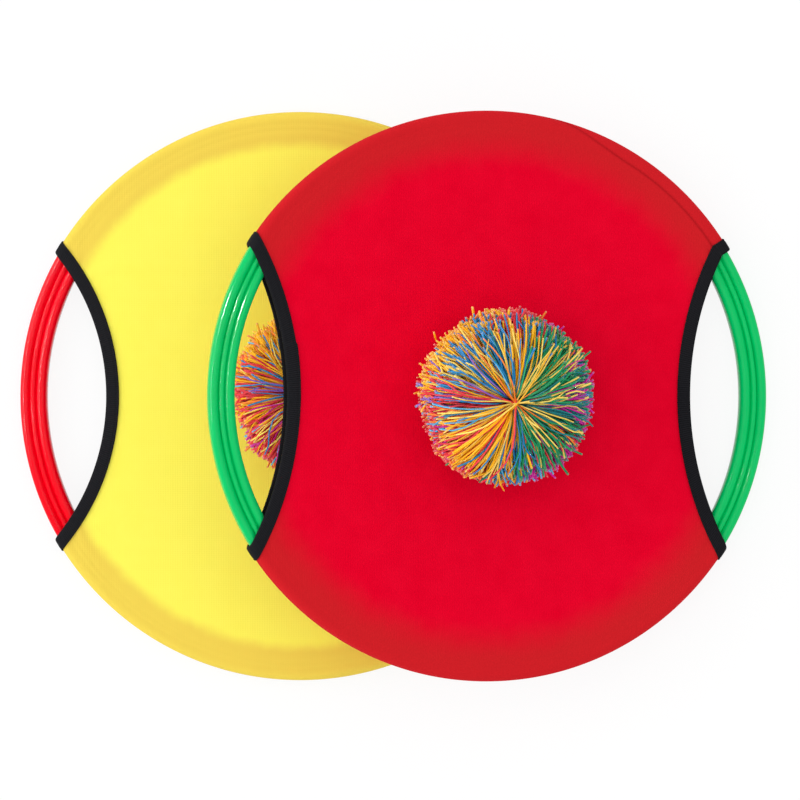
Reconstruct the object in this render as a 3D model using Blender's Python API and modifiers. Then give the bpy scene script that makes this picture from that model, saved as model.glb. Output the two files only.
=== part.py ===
"""Trampoline paddle ball set: two hand paddles with stretch covers and two rubber-string balls.

One paddle lies flat, with a string ball on it. The other leans over that ball, with its far
handle on the ground, and carries the second ball. Each paddle is a moulded hoop inside a
stretch sleeve of two panels and two rim bands. Black tape binds the two mouths of the
sleeve, and the bare hoop between the mouths' corners is the handle. Each ball is eight
bundles of rubber strings, tied round their waist by one band.

Metres, +Z up, origin in the middle of the set's footprint on the ground.
"""

import math
import random

import bmesh
import bpy
from mathutils import Matrix, Vector

# Clearance between pieces that touch
GAP = 0.0003

# Moulded hoop
HOOP_RADIUS = 0.150
HOOP_THICKNESS = 0.010
OUTER_BEAD = 0.0053
MID_RIB = 0.0031
INNER_BEAD = 0.0058
GROOVE_DEPTH = 0.0018
MID_RIB_DROP = 0.0003

# Stretch sleeve
FABRIC = 0.0008
SEAM_INSET = 0.0048

# Sleeve mouths at the handles: each paddle's have their own curve, and their own distance from its
# centre to the middle of the edge
FLAT_MOUTH_RADIUS = 0.1180
FLAT_MOUTH_INSET = 0.1032
LEANING_MOUTH_RADIUS = 0.1685
LEANING_MOUTH_INSET = 0.1083

# Tape folded round the mouths' edges
TAPE_WIDTH = 0.0070
TAPE_WALL = 0.0006

# String balls
BALL_RADIUS = 0.0466
CORE_RADIUS = 0.0140
NECK_RADIUS = 0.0075
BAND_WIRE = 0.0015
STRING_SPREAD = 1.45
SHORTEST_STRING = 0.93
PARTING_DEG = 15.0
STRAY_DEG = 2.2
UPPER_BALL_HEIGHT = 0.035

# Layout of the set: the upper paddle's centre and both balls' places in plan
LEAN_DEG = 18.0
UPPER_PADDLE_SHIFT = 0.1065
LOWER_BALL_PLACE = (0.0165, 0.0023)
LOWER_BALL_SHARE = 0.50
UPPER_BALL_PLACE = (0.0025, -0.0007)

# Facets
HOOP_STEPS = 36
MOUTH_STEPS = 96
TAPE_SPANS = 6
BEAD_STEP_DEG = 45
BAND_STEPS = 16
WIRE_STEPS = 6
STRING_ROWS = 6
CELLS_ACROSS = 4
COARSE_ROWS = {0: 4, 1: 2, 2: 2}

# Sizes that follow from the ones above
HALF = HOOP_THICKNESS / 2
BEND = OUTER_BEAD / 2
BEND_CENTRE_R = HOOP_RADIUS - BEND
BEND_CENTRE_Z = HALF - BEND
HOOP_INNER = HOOP_RADIUS - OUTER_BEAD - MID_RIB - INNER_BEAD
SEAM_RADIUS = HOOP_RADIUS - SEAM_INSET
FABRIC_IN = GAP
FABRIC_OUT = FABRIC_IN + FABRIC
TAPE_IN = FABRIC_OUT + GAP
TAPE_OUT = TAPE_IN + TAPE_WALL
CUTTER_SIZE = 4 * HOOP_RADIUS
LEAN = math.radians(LEAN_DEG)

BUNDLES = ("magenta", "green", "blue", "yellow", "violet", "red", "orange", "teal")
BUNDLE_ANGLE = math.tau / len(BUNDLES)
BUNDLE_SHIFT = GAP / 2 / math.sin(BUNDLE_ANGLE / 2)
GROOVE_HALF = BAND_WIRE + GAP
LAST_ROW = math.acos(GROOVE_HALF / CORE_RADIUS)
ROW = LAST_ROW / STRING_ROWS
STRING_THICKNESS = 2 * CORE_RADIUS * math.sin(ROW / 2)

# sRGB colour, roughness
FINISHES = {
    "fabric_red": ((0.875, 0.030, 0.130), 0.85),
    "fabric_yellow": ((0.965, 0.925, 0.330), 0.85),
    "tape_black": ((0.120, 0.118, 0.130), 0.80),
    "plastic_green": ((0.012, 0.765, 0.410), 0.22),
    "plastic_red": ((0.960, 0.020, 0.110), 0.22),
    "rubber_magenta": ((0.760, 0.070, 0.600), 0.55),
    "rubber_green": ((0.110, 0.600, 0.380), 0.55),
    "rubber_blue": ((0.170, 0.550, 0.770), 0.55),
    "rubber_yellow": ((0.970, 0.730, 0.130), 0.55),
    "rubber_violet": ((0.550, 0.430, 0.780), 0.55),
    "rubber_red": ((0.890, 0.230, 0.270), 0.55),
    "rubber_orange": ((0.950, 0.530, 0.180), 0.55),
    "rubber_teal": ((0.090, 0.480, 0.540), 0.55),
    "band_natural": ((0.850, 0.800, 0.680), 0.60),
}


def to_linear(value):
    """One sRGB channel as linear light."""
    return value / 12.92 if value <= 0.04045 else ((value + 0.055) / 1.055) ** 2.4


def make_materials():
    made = {}
    for name, (colour, roughness) in FINISHES.items():
        material = bpy.data.materials.new(name)
        material.use_nodes = True
        shader = material.node_tree.nodes["Principled BSDF"]
        shader.inputs["Base Color"].default_value = (*map(to_linear, colour), 1.0)
        shader.inputs["Roughness"].default_value = roughness
        shader.inputs["Metallic"].default_value = 0.0
        made[name] = material
    return made


def clear_scene():
    for old in list(bpy.data.objects):
        bpy.data.objects.remove(old)


def new_collection(name):
    made = bpy.data.collections.new(name)
    bpy.context.scene.collection.children.link(made)
    return made


def new_object(name, data, collection, parent=None, material=None):
    """An object that may share its mesh with others, so its material is its own."""
    made = bpy.data.objects.new(name, data)
    collection.objects.link(made)
    made.parent = parent
    if material is not None:
        made.material_slots[0].link = "OBJECT"
        made.material_slots[0].material = material
    return made


def finish_mesh(mesh, sharp_deg=40.0):
    """Round pieces shade smooth up to their real corners. The slot takes each object's material."""
    mesh.shade_smooth()
    mesh.set_sharp_from_angle(angle=math.radians(sharp_deg))
    if not mesh.materials:
        mesh.materials.append(None)
    return mesh


def baked(obj):
    """The evaluated mesh of a helper object, which is then removed."""
    graph = bpy.context.evaluated_depsgraph_get()
    mesh = bpy.data.meshes.new_from_object(obj.evaluated_get(graph))
    bpy.data.objects.remove(obj)
    return finish_mesh(mesh)


def revolved(profile, collection):
    """A ring turned about Z from a closed (radius, height) outline that runs down its outer side."""
    mesh = bpy.data.meshes.new("profile")
    points = [(radius, 0.0, height) for radius, height in profile]
    edges = [(i, (i + 1) % len(points)) for i in range(len(points))]
    mesh.from_pydata(points, edges, [])
    made = new_object("turned", mesh, collection)
    screw = made.modifiers.new("turn", "SCREW")
    screw.steps = HOOP_STEPS
    screw.render_steps = HOOP_STEPS
    screw.use_merge_vertices = True
    screw.merge_threshold = 0.00001
    screw.use_normal_calculate = True
    return made


def drum(name, radius, height, centre, steps, collection):
    """A plain cylinder about a vertical axis."""
    mesh = bpy.data.meshes.new(name)
    shape = bmesh.new()
    bmesh.ops.create_cone(
        shape,
        cap_ends=True,
        segments=steps,
        radius1=radius,
        radius2=radius,
        depth=height,
        matrix=Matrix.Translation(centre),
    )
    shape.to_mesh(mesh)
    shape.free()
    return new_object(name, mesh, collection)


def cutter(obj):
    obj.hide_render = True
    obj.display_type = "WIRE"
    return obj


def cut(obj, tool, operation="DIFFERENCE"):
    step = obj.modifiers.new(operation.lower(), "BOOLEAN")
    step.operation = operation
    step.solver = "EXACT"
    step.object = tool


def bend_points(offset, start_deg, end_deg):
    """Points round the hoop's outer bead, this far off its surface, from one angle to another."""
    count = round(abs(end_deg - start_deg) / BEAD_STEP_DEG)
    points = []
    for i in range(count + 1):
        angle = math.radians(start_deg + (end_deg - start_deg) * i / count)
        centre_z = BEND_CENTRE_Z if start_deg + end_deg > 0 else -BEND_CENTRE_Z
        reach = BEND + offset
        points.append((BEND_CENTRE_R + reach * math.cos(angle), centre_z + reach * math.sin(angle)))
    return points


def bead_top(centre_r, width, top, angles_deg):
    """Points over one rounded bead of the hoop's face, from its inner side outwards."""
    radius = width / 2
    points = []
    for degrees in angles_deg:
        angle = math.radians(degrees)
        points.append((centre_r + radius * math.cos(angle), top - radius + radius * math.sin(angle)))
    return points


def hoop_section():
    """The moulded section: an outer and an inner bead with a slimmer rib between two grooves."""
    inner_centre = HOOP_INNER + INNER_BEAD / 2
    rib_centre = HOOP_INNER + INNER_BEAD + MID_RIB / 2
    groove_z = HALF - GROOVE_DEPTH
    face = bead_top(inner_centre, INNER_BEAD, HALF, (180, 135, 90, 45))
    face.append((HOOP_INNER + INNER_BEAD, groove_z))
    face += bead_top(rib_centre, MID_RIB, HALF - MID_RIB_DROP, (125, 55))
    face.append((HOOP_RADIUS - OUTER_BEAD, groove_z))
    face += bead_top(BEND_CENTRE_R, OUTER_BEAD, HALF, (135, 90, 45, 0))
    return face + [(radius, -height) for radius, height in reversed(face)]


def band_section():
    """The rim band: fabric wrapped round the outer bead, from one panel's seam to the other's."""
    edge = SEAM_RADIUS + GAP / 2
    outside = bend_points(FABRIC_OUT, 90, 0) + bend_points(FABRIC_OUT, 0, -90)
    inside = bend_points(FABRIC_IN, -90, 0) + [(r, -z) for r, z in reversed(bend_points(FABRIC_IN, -90, 0))]
    outer = [(edge, HALF + FABRIC_OUT), *outside, (edge, -HALF - FABRIC_OUT)]
    inner = [(edge, -HALF - FABRIC_IN), *inside, (edge, HALF + FABRIC_IN)]
    return outer + inner


def panel_mesh(mouths, side, collection):
    """A flat panel of the sleeve: a disc out to the seam, cut back at the two mouths."""
    height = side * (HALF + (FABRIC_IN + FABRIC_OUT) / 2)
    disc = drum("panel", SEAM_RADIUS - GAP / 2, FABRIC, (0, 0, height), HOOP_STEPS, collection)
    for tool in mouths:
        cut(disc, tool)
    return baked(disc)


def rim_band_mesh(mouths, side, collection):
    """The strip of sleeve round one half of the rim, from mouth to mouth."""
    ring = revolved(band_section(), collection)
    half_mesh = bpy.data.meshes.new("half")
    shape = bmesh.new()
    middle = Matrix.Translation((0, side * CUTTER_SIZE / 2, 0))
    bmesh.ops.create_cube(shape, size=CUTTER_SIZE, matrix=middle)
    shape.to_mesh(half_mesh)
    shape.free()
    half = cutter(new_object("half", half_mesh, collection))
    cut(ring, half, "INTERSECT")
    for tool in mouths:
        cut(ring, tool)
    mesh = baked(ring)
    bpy.data.objects.remove(half)
    return mesh


# The folded tape's section as (inset from the mouth's edge, offset from the hoop's face). Its inner
# leg stops where the hoop passes, because the tape lies tight on the hoop there.
FOLDED = (
    (0.0, TAPE_OUT),
    (TAPE_WIDTH, TAPE_OUT),
    (TAPE_WIDTH, TAPE_IN),
    (TAPE_WALL, TAPE_IN),
    (TAPE_WALL, FABRIC_IN - GAP),
    (TAPE_WIDTH, FABRIC_IN - GAP),
    (TAPE_WIDTH, FABRIC_IN - GAP - TAPE_WALL),
    (0.0, FABRIC_IN - GAP - TAPE_WALL),
)
LEG_ENDS = FOLDED[:4] + (
    (TAPE_WALL, FABRIC_IN - GAP),
    (TAPE_WALL, FABRIC_IN - GAP - TAPE_WALL / 2),
    (TAPE_WALL, FABRIC_IN - GAP - TAPE_WALL),
    (0.0, FABRIC_IN - GAP - TAPE_WALL),
)
OVER_HOOP = FOLDED[:4] + (
    (TAPE_WALL, FABRIC_IN + FABRIC * 2 / 3),
    (TAPE_WALL, FABRIC_IN + FABRIC / 3),
    (TAPE_WALL, FABRIC_IN),
    (0.0, FABRIC_IN),
)


class Mouth:
    """A sleeve mouth: the circle of its edge about an axis out beyond the hoop, and the tape round it.

    Points are for the left mouth. The right one mirrors them.
    """

    def __init__(self, radius, inset):
        self.radius = radius
        self.axis = inset + radius

    def cutters(self, collection):
        """The two upright cylinders that the sleeve's edge follows, where it ends inside the tape."""
        radius = self.radius + TAPE_WALL + GAP
        tools = []
        for side in (-1, 1):
            tool = drum("mouth", radius, CUTTER_SIZE, (side * self.axis, 0, 0), MOUTH_STEPS, collection)
            tools.append(cutter(tool))
        return tools

    def clearance(self, spot):
        """How far a spot in the paddle's plane is from the nearer mouth's edge, into the fabric."""
        return math.hypot(abs(spot.x) - self.axis, spot.y) - self.radius

    def arc_point(self, inset, offset, share, side):
        """A point on a flat face, on the mouth's circle, at a share of its half span."""
        radius = self.radius + inset
        square = self.axis**2 + radius**2
        span = math.acos((square - BEND_CENTRE_R**2) / (2 * self.axis * radius))
        angle = share * span
        x = -self.axis + radius * math.cos(angle)
        return Vector((x, radius * math.sin(angle), side * (HALF + offset)))

    def rim_point(self, inset, offset, angle_deg, lower, end):
        """A point on the rim's round side, where the mouth's circle crosses it."""
        angle = math.radians(angle_deg)
        reach = BEND + offset
        radius = BEND_CENTRE_R + reach * math.cos(angle)
        height = (-BEND_CENTRE_Z if lower else BEND_CENTRE_Z) + reach * math.sin(angle)
        square = (self.radius + inset) ** 2 - self.axis**2 - radius**2
        x = square / (2 * self.axis)
        return Vector((x, end * math.sqrt(radius**2 - x**2), height))

    def share_at_radius(self, radius):
        """The share of the half span at which the edge is this far from the paddle's centre."""
        square = self.axis**2 + self.radius**2
        reach = 2 * self.axis * self.radius
        return math.acos((square - radius**2) / reach) / math.acos((square - BEND_CENTRE_R**2) / reach)

    def tape_stations(self):
        """The tape's cross-sections in order: front, over the rim, back, over the rim."""
        free = self.share_at_radius(HOOP_INNER - GAP)
        ending = self.share_at_radius(HOOP_INNER + GAP)
        crossing = self.share_at_radius(HOOP_INNER + INNER_BEAD / 5)
        shares = [-1.0, -(1.0 + crossing) / 2, -crossing, -ending]
        shares += [free * (2 * i / TAPE_SPANS - 1) for i in range(TAPE_SPANS + 1)]
        shares += [ending, crossing, (1.0 + crossing) / 2, 1.0]

        def section_at(share):
            if abs(share) > ending + 1e-9:
                return OVER_HOOP
            return LEG_ENDS if abs(share) > free + 1e-9 else FOLDED

        def across(side, order):
            return [
                [self.arc_point(inset, offset, share, side) for inset, offset in section_at(share)]
                for share in order
            ]

        def over(end, turns):
            return [
                [self.rim_point(inset, offset, angle, lower, end) for inset, offset in OVER_HOOP]
                for angle, lower in turns
            ]

        down = [(BEAD_STEP_DEG, False), (0, False), (0, True), (-BEAD_STEP_DEG, True)]
        rows = across(1, shares)
        rows += over(1, down)
        rows += across(-1, list(reversed(shares)))
        rows += over(-1, list(reversed(down)))
        return rows

    def tape_mesh(self, side):
        """The black tape as one closed loop, lofted through its cross-sections."""
        mesh = bpy.data.meshes.new("tape")
        shape = bmesh.new()
        rings = []
        for row in self.tape_stations():
            rings.append([shape.verts.new((-side * p.x, p.y, p.z)) for p in row])
        for i, ring in enumerate(rings):
            following = rings[(i + 1) % len(rings)]
            for j in range(len(ring)):
                k = (j + 1) % len(ring)
                shape.faces.new((ring[j], ring[k], following[k], following[j]))
        bmesh.ops.recalc_face_normals(shape, faces=shape.faces)
        shape.to_mesh(mesh)
        shape.free()
        return finish_mesh(mesh)


def paddle_meshes(mouth, collection):
    """Every piece of a paddle with such mouths, about its own centre."""
    tools = mouth.cutters(collection)
    made = {
        "hoop": baked(revolved(hoop_section(), collection)),
        "front_panel": panel_mesh(tools, 1, collection),
        "back_panel": panel_mesh(tools, -1, collection),
        "rim_band_top": rim_band_mesh(tools, 1, collection),
        "rim_band_bottom": rim_band_mesh(tools, -1, collection),
        "binding_left": mouth.tape_mesh(-1),
        "binding_right": mouth.tape_mesh(1),
    }
    for tool in tools:
        bpy.data.objects.remove(tool)
    return made


def build_paddle(name, meshes, place, fabric, plastic, tape, collection):
    frame = new_object(f"{name}_frame", None, collection)
    frame.matrix_world = place
    for piece, mesh in meshes.items():
        if piece == "hoop":
            material = plastic
        elif piece.startswith("binding"):
            material = tape
        else:
            material = fabric
        new_object(f"{name}_{piece}", mesh, collection, frame, material)


def leaning_height():
    """How high the leaning paddle's centre is, with the underside of its hoop on the ground."""
    return max(r * math.sin(LEAN) + z * math.cos(LEAN) for r, z in hoop_section())


def leaning_reach():
    """How far the leaning paddle's hoop reaches from its centre, in plan."""
    return max(r * math.cos(LEAN) + z * math.sin(LEAN) for r, z in hoop_section())


class StringBall:
    """One ball: its frame, and the surfaces that its string ends rest against."""

    def __init__(self, frame, supports, seed):
        self.frame = frame
        self.supports = supports
        self.seed = seed

    def reach(self, start, direction, length):
        """How far a string runs from its start before it meets a surface it rests on."""
        for support in self.supports:
            length = min(length, support(self.frame @ start, self.frame.to_3x3() @ direction))
        return length


def plane_support(point, normal):
    """The distance along a string to a plane that it is on the inner side of."""

    def distance(start, direction):
        approach = direction.dot(normal)
        if approach <= 1e-6:
            return math.inf
        return (point - start).dot(normal) / approach

    return distance


def under_paddle_support(paddle, mouth):
    """The leaning paddle's underside: its back panel, or the tape and hoop near the mouths."""
    normal = (paddle.to_3x3() @ Vector((0, 0, 1))).normalized()
    panel = plane_support(paddle @ Vector((0, 0, -HALF - FABRIC_OUT - GAP)), normal)
    tape = plane_support(paddle @ Vector((0, 0, -HALF - TAPE_OUT - GAP)), normal)
    to_paddle = paddle.inverted()
    margin = STRING_THICKNESS * STRING_SPREAD

    def distance(start, direction):
        length = panel(start, direction)
        if length == math.inf:
            return length
        spot = to_paddle @ (start + direction * length)
        clear = mouth.clearance(spot) - TAPE_WIDTH
        return length if clear > margin else tape(start, direction)

    return distance


def bundle_outline():
    """A bundle's profile from pole to pole, with the waist that the tie band sits in."""
    rows = [LAST_ROW * i / STRING_ROWS for i in range(STRING_ROWS + 1)]
    upper = [(CORE_RADIUS * math.sin(p), CORE_RADIUS * math.cos(p)) for p in rows]
    upper.append((NECK_RADIUS, GROOVE_HALF))
    return upper + [(radius, -height) for radius, height in reversed(upper)]


def bundle_core():
    """One eighth of the waisted core, from a profile turned through the bundle's angle."""
    shape = bmesh.new()
    outline = bundle_outline()
    start = Matrix.Rotation(-BUNDLE_ANGLE / 2, 3, "Z")
    ring = [shape.verts.new(start @ Vector((r, 0, z))) for r, z in outline]
    line = [shape.edges.new(pair) for pair in zip(ring, ring[1:])]
    spun = bmesh.ops.spin(
        shape,
        geom=ring + line,
        cent=(0, 0, 0),
        axis=(0, 0, 1),
        dvec=(0, 0, 0),
        angle=BUNDLE_ANGLE,
        steps=CELLS_ACROSS,
    )
    last = [v for v in spun["geom_last"] if isinstance(v, bmesh.types.BMVert)]
    last.sort(key=lambda v: outline_order(v, outline))
    for side in (ring, last):
        shape.faces.new(side)
    bmesh.ops.remove_doubles(shape, verts=shape.verts, dist=1e-6)
    bmesh.ops.recalc_face_normals(shape, faces=shape.faces)
    return shape


def outline_order(vert, outline):
    """Where a vertex comes along the profile."""
    spot = (math.hypot(vert.co.x, vert.co.y), vert.co.z)
    return min(range(len(outline)), key=lambda i: math.dist(spot, outline[i]))


def row_of(vert):
    """The row boundary that a vertex on the core's round face lies on, counted from its pole."""
    polar = math.acos(min(1.0, abs(vert.co.z) / CORE_RADIUS))
    return round(polar / LAST_ROW * STRING_ROWS)


def merge_cells_near_poles(shape):
    """Joins narrow cells near the poles, so that every string is about as thick."""
    spare = []
    for edge in shape.edges:
        if not all(abs(v.co.length - CORE_RADIUS) < 1e-6 for v in edge.verts):
            continue
        rows = [row_of(v) for v in edge.verts]
        if rows[0] == rows[1] or edge.verts[0].co.z * edge.verts[1].co.z < 0:
            continue
        outer = max(edge.verts, key=lambda v: math.hypot(v.co.x, v.co.y))
        angle = math.atan2(outer.co.y, outer.co.x) + BUNDLE_ANGLE / 2
        column = round(angle / BUNDLE_ANGLE * CELLS_ACROSS)
        if 0 < column < CELLS_ACROSS and column % COARSE_ROWS.get(min(rows), 1):
            spare.append(edge)
    bmesh.ops.dissolve_edges(shape, edges=spare, use_verts=True)


def leaned(centre, dice):
    """Where a string that leaves the core here points: off the pole, nearly out to the waist."""
    polar = math.acos(abs(centre.z) / centre.length)
    around = math.atan2(centre.y, centre.x)
    stray = math.radians(STRAY_DEG)
    half_tip = STRING_THICKNESS * STRING_SPREAD / 2 + GAP
    first = math.radians(PARTING_DEG)
    last = math.pi / 2 - stray - math.asin(half_tip / (BALL_RADIUS * SHORTEST_STRING))
    share = (polar - ROW / 2) / (LAST_ROW - ROW)
    polar = first + (last - first) * share + dice.uniform(-stray, stray)
    around += dice.uniform(-stray, stray)
    height = math.copysign(math.cos(polar), centre.z)
    return Vector((math.sin(polar) * math.cos(around), math.sin(polar) * math.sin(around), height))


def bundle_mesh(ball, number):
    """One bundle of strings: its eighth of the core, with each cell drawn out into a string."""
    dice = random.Random(ball.seed + number)
    shape = bundle_core()
    merge_cells_near_poles(shape)
    cells = [f for f in shape.faces if all(abs(v.co.length - CORE_RADIUS) < 1e-6 for v in f.verts)]
    drawn = bmesh.ops.extrude_discrete_faces(shape, faces=cells)["faces"]
    drawn = sorted(drawn, key=lambda f: tuple(round(c, 5) for c in f.calc_center_median()))
    turn = Matrix.Rotation(number * BUNDLE_ANGLE, 4, "Z")
    outwards = turn @ Vector((BUNDLE_SHIFT, 0, 0))
    place = Matrix.Translation(outwards) @ turn
    for cell in drawn:
        centre = sum((v.co for v in cell.verts), Vector()) / len(cell.verts)
        string = leaned(centre, dice)
        tip = string * BALL_RADIUS * dice.uniform(SHORTEST_STRING, 1.0)
        along = (tip - centre).normalized()
        for vert in cell.verts:
            root = vert.co.copy()
            end = tip + (root - centre) * STRING_SPREAD
            path = end - root
            free = ball.reach(place @ root, turn.to_3x3() @ path.normalized(), path.length)
            vert.co = root + path.normalized() * free
    shape.transform(place)
    mesh = bpy.data.meshes.new("bundle")
    shape.to_mesh(mesh)
    shape.free()
    return finish_mesh(mesh)


def tie_band(name, frame, material, collection):
    """The band round the bundles' waist."""
    bpy.ops.mesh.primitive_torus_add(
        major_radius=NECK_RADIUS + BUNDLE_SHIFT + GAP + BAND_WIRE,
        minor_radius=BAND_WIRE,
        major_segments=BAND_STEPS,
        minor_segments=WIRE_STEPS,
    )
    band = bpy.context.active_object
    mesh = finish_mesh(band.data)
    bpy.data.objects.remove(band)
    return new_object(name, mesh, collection, frame, material)


def build_ball(name, ball, materials, collection):
    frame = new_object(f"{name}_frame", None, collection)
    frame.matrix_world = ball.frame
    for number, colour in enumerate(BUNDLES):
        mesh = bundle_mesh(ball, number)
        new_object(f"{name}_{colour}_bundle", mesh, collection, frame, materials[f"rubber_{colour}"])
    tie_band(f"{name}_tie_band", frame, materials["band_natural"], collection)


def main():
    clear_scene()
    parts = new_collection("trampoline paddle ball set")
    cutters = new_collection("cutters")
    materials = make_materials()

    # The set is centred over its footprint, from the flat paddle's left to the leaning one's right
    middle = (UPPER_PADDLE_SHIFT + leaning_reach() - HOOP_RADIUS) / 2
    flat = Matrix.Translation((-middle, 0, HALF + TAPE_OUT))
    leaning = Matrix.Translation((UPPER_PADDLE_SHIFT - middle, 0, leaning_height()))
    leaning = leaning @ Matrix.Rotation(LEAN, 4, "Y")

    flat_mouth = Mouth(FLAT_MOUTH_RADIUS, FLAT_MOUTH_INSET)
    leaning_mouth = Mouth(LEANING_MOUTH_RADIUS, LEANING_MOUTH_INSET)
    tape = materials["tape_black"]
    yellow, red = materials["fabric_yellow"], materials["fabric_red"]
    meshes = paddle_meshes(flat_mouth, cutters)
    build_paddle("yellow_paddle", meshes, flat, yellow, materials["plastic_red"], tape, parts)
    meshes = paddle_meshes(leaning_mouth, cutters)
    build_paddle("red_paddle", meshes, leaning, red, materials["plastic_green"], tape, parts)

    up = Vector((0, 0, 1))
    floor_of_lower = flat @ Vector((0, 0, HALF + FABRIC_OUT + GAP))
    under_red = under_paddle_support(leaning, leaning_mouth)
    spot = Vector((LOWER_BALL_PLACE[0] - middle, LOWER_BALL_PLACE[1], floor_of_lower.z))
    room = under_red(spot, up)
    lower_frame = Matrix.Translation(spot + up * room * LOWER_BALL_SHARE)
    supports = (plane_support(floor_of_lower, -up), under_red)
    build_ball("lower_ball", StringBall(lower_frame, supports, 11), materials, parts)

    top_face = HALF + FABRIC_OUT + GAP
    upper_frame = leaning @ Matrix.Translation((*UPPER_BALL_PLACE, top_face + UPPER_BALL_HEIGHT))
    red_up = (leaning.to_3x3() @ up).normalized()
    supports = (plane_support(leaning @ Vector((0, 0, top_face)), -red_up),)
    build_ball("upper_ball", StringBall(upper_frame, supports, 47), materials, parts)
    bpy.context.view_layer.update()


main()
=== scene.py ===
"""Dresses the trampoline paddle ball set: moulded hoops, stretch covers, bound mouths and string balls.

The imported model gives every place. Each class here makes the fine surface of one sub-assembly about
its own centre and sets it down where the model has it. Metres, +Z up.
"""

import logging
import math
from dataclasses import dataclass, field
from enum import Enum, IntEnum
from functools import partial
from itertools import accumulate
from typing import Any, Callable, NamedTuple, Optional

import bpy
import numpy as np
from mathutils import Matrix, Vector


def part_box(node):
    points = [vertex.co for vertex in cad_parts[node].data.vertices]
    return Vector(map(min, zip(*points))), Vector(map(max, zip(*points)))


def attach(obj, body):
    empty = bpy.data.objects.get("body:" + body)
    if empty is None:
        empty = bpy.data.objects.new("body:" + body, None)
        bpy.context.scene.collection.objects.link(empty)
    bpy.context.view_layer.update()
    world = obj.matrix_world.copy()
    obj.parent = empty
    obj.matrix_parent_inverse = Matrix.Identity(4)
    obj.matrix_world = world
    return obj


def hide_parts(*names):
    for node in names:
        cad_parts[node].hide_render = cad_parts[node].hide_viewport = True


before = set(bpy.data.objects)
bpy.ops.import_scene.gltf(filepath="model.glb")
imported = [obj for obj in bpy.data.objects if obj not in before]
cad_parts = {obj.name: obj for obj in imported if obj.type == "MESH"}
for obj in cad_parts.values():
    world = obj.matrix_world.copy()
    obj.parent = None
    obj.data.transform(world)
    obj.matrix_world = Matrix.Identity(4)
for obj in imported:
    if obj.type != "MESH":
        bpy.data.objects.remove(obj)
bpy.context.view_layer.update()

BODY = "root"
LEAN_DEG = 18.0
TIP_OVER_DEG = 6.0
MM = 0.001
CLEARANCE = 0.3 * MM
# The side of the square that the cloth's flat map covers
CUT_SPAN = 0.32
# The wave texture's period at a scale of 1, in its own units
WAVE_PERIOD = 0.31416

Node = bpy.types.Node
Material = bpy.types.Material
Object = bpy.types.Object
Array = np.ndarray
Adder = Callable[..., Node]
Profile = list[tuple[float, float]]
Pairs = tuple[tuple[float, float], ...]

log = logging.getLogger("paddle_ball_set")


def linear(hex_colour: str) -> tuple[float, float, float, float]:
    """Turns an sRGB hex colour into linear light.

    Args:
        hex_colour: Six hex digits, such as "de0124".

    Returns:
        Red, green, blue and an alpha of 1.
    """
    channels = [int(hex_colour[i : i + 2], 16) / 255 for i in (0, 2, 4)]
    light = [c / 12.92 if c <= 0.04045 else ((c + 0.055) / 1.055) ** 2.4 for c in channels]
    return (*light, 1.0)


def unit(value: float) -> float:
    """Keeps a value between 0 and 1."""
    return min(1.0, max(0.0, value))


def blend(first: float, last: float, share: float) -> float:
    """The value at a share of the way from one value to another."""
    return first * (1 - share) + last * share


def triangle_angle(beside: float, other: float, opposite: float) -> float:
    """The angle between two sides of a triangle, by the lengths of both and of the third side."""
    return math.acos(min(1.0, (beside**2 + other**2 - opposite**2) / (2 * beside * other)))


def connect(node: Node, inputs: dict[Any, Any]) -> None:
    """Sets a node's inputs.

    Args:
        node: The node.
        inputs: For each socket, by name or number, a value, a socket to link from, or a node whose
            first output is linked.
    """
    for key, value in inputs.items():
        source = value.outputs[0] if isinstance(value, Node) else value
        if isinstance(source, bpy.types.NodeSocket):
            node.id_data.links.new(source, node.inputs[key])
        else:
            node.inputs[key].default_value = source


def add_node(tree: bpy.types.NodeTree, kind: str, inputs: dict[Any, Any], **settings: Any) -> Node:
    """Adds one shader node to a tree, with its settings and links.

    Args:
        tree: The tree that gets the node.
        kind: The node's type name, after "ShaderNode".
        inputs: Its inputs, as for connect.
        **settings: Values for the node's own attributes.

    Returns:
        The new node.
    """
    node = tree.nodes.new("ShaderNode" + kind)
    for name, value in settings.items():
        setattr(node, name, value)
    connect(node, inputs)
    return node


def new_material(name: str) -> tuple[Material, Node, Adder]:
    """Makes a material with an empty Principled shader.

    Args:
        name: The material's name.

    Returns:
        The material, its Principled shader, and add_node for its tree.
    """
    material = bpy.data.materials.new(name)
    material.use_nodes = True
    tree = material.node_tree
    return material, tree.nodes["Principled BSDF"], partial(add_node, tree)


def seen_white(add: Adder) -> Node:
    """Tells the rays that show the studio's white from those that only light the set.

    Args:
        add: add_node for the tree.

    Returns:
        A node that gives 1 for the camera's rays, also by a gloss or through something clear.
    """
    rays = add("LightPath", {}).outputs
    seen = add("Math", {0: rays["Is Camera Ray"], 1: rays["Is Glossy Ray"]}, operation="MAXIMUM")
    return add("Math", {0: seen, 1: rays["Is Transmission Ray"]}, operation="MAXIMUM")


def add_object(name: str, data: bpy.types.ID) -> Object:
    """Puts a mesh, a lamp or a camera into the scene.

    Args:
        name: The object's name.
        data: What it shows.

    Returns:
        The new object, at the frame's origin.
    """
    made = bpy.data.objects.new(name, data)
    bpy.context.scene.collection.objects.link(made)
    return made


class Side(IntEnum):
    """One of two sides, by the sign of its direction."""

    @property
    def word(self) -> str:
        """The side in the names of pieces."""
        return self.name.lower()


class Face(Side):
    """The faces of a paddle."""

    FRONT = 1
    BACK = -1


class Half(Side):
    """The halves of a paddle above and below its handles, or of a ball over and under its waist."""

    TOP = 1
    BOTTOM = -1


class End(Side):
    """The ends of a paddle, each with a handle."""

    LEFT = -1
    RIGHT = 1


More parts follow.
